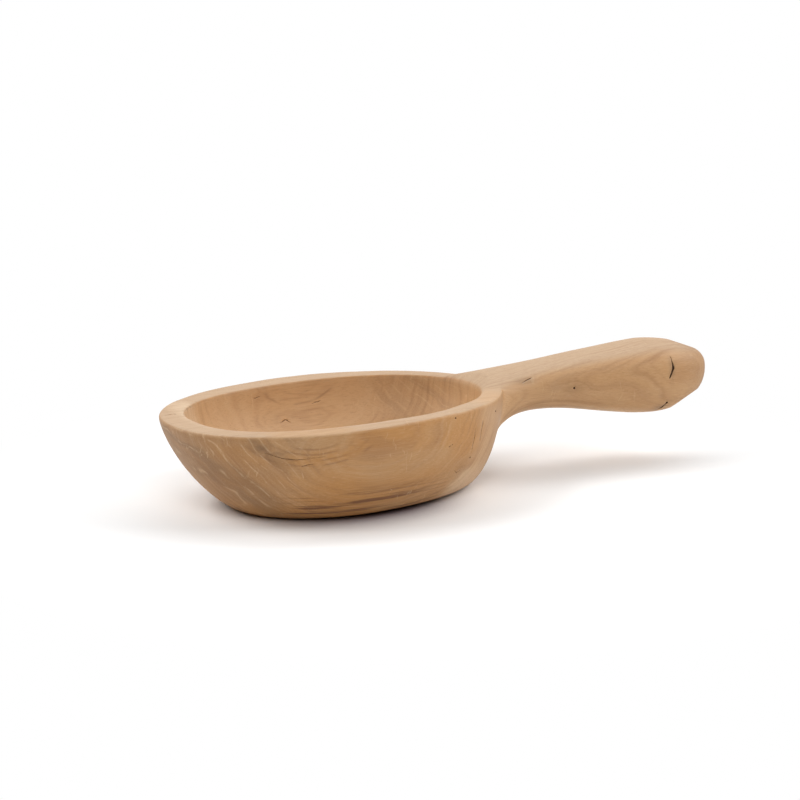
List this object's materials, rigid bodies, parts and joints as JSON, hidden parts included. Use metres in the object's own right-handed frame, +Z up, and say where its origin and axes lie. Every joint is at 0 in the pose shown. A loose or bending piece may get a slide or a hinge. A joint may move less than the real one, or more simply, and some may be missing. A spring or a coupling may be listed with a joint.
{
  "type": "wooden scoop bowl",
  "caption": "Hand-carved wooden scoop: an oval hollow bowl on a flat foot, with a thick handle that narrows to a waist and swells to a rounded end, all one piece of pale hardwood.",
  "frame": {"origin": "on the flat foot, below the widest part of the bowl", "axes": "+X from the bowl towards the end of the handle, +Z up out of the bowl, +Y completing a right-handed frame"},
  "size_m": [0.3899, 0.1598, 0.08],
  "materials": {
    "scoop_wood": "sanded bare hardwood, matt, with open grain, drying checks and pin knots"
  },
  "bodies": {
    "root": {"carved_scoop": "scoop_wood"}
  },
  "joints": []
}
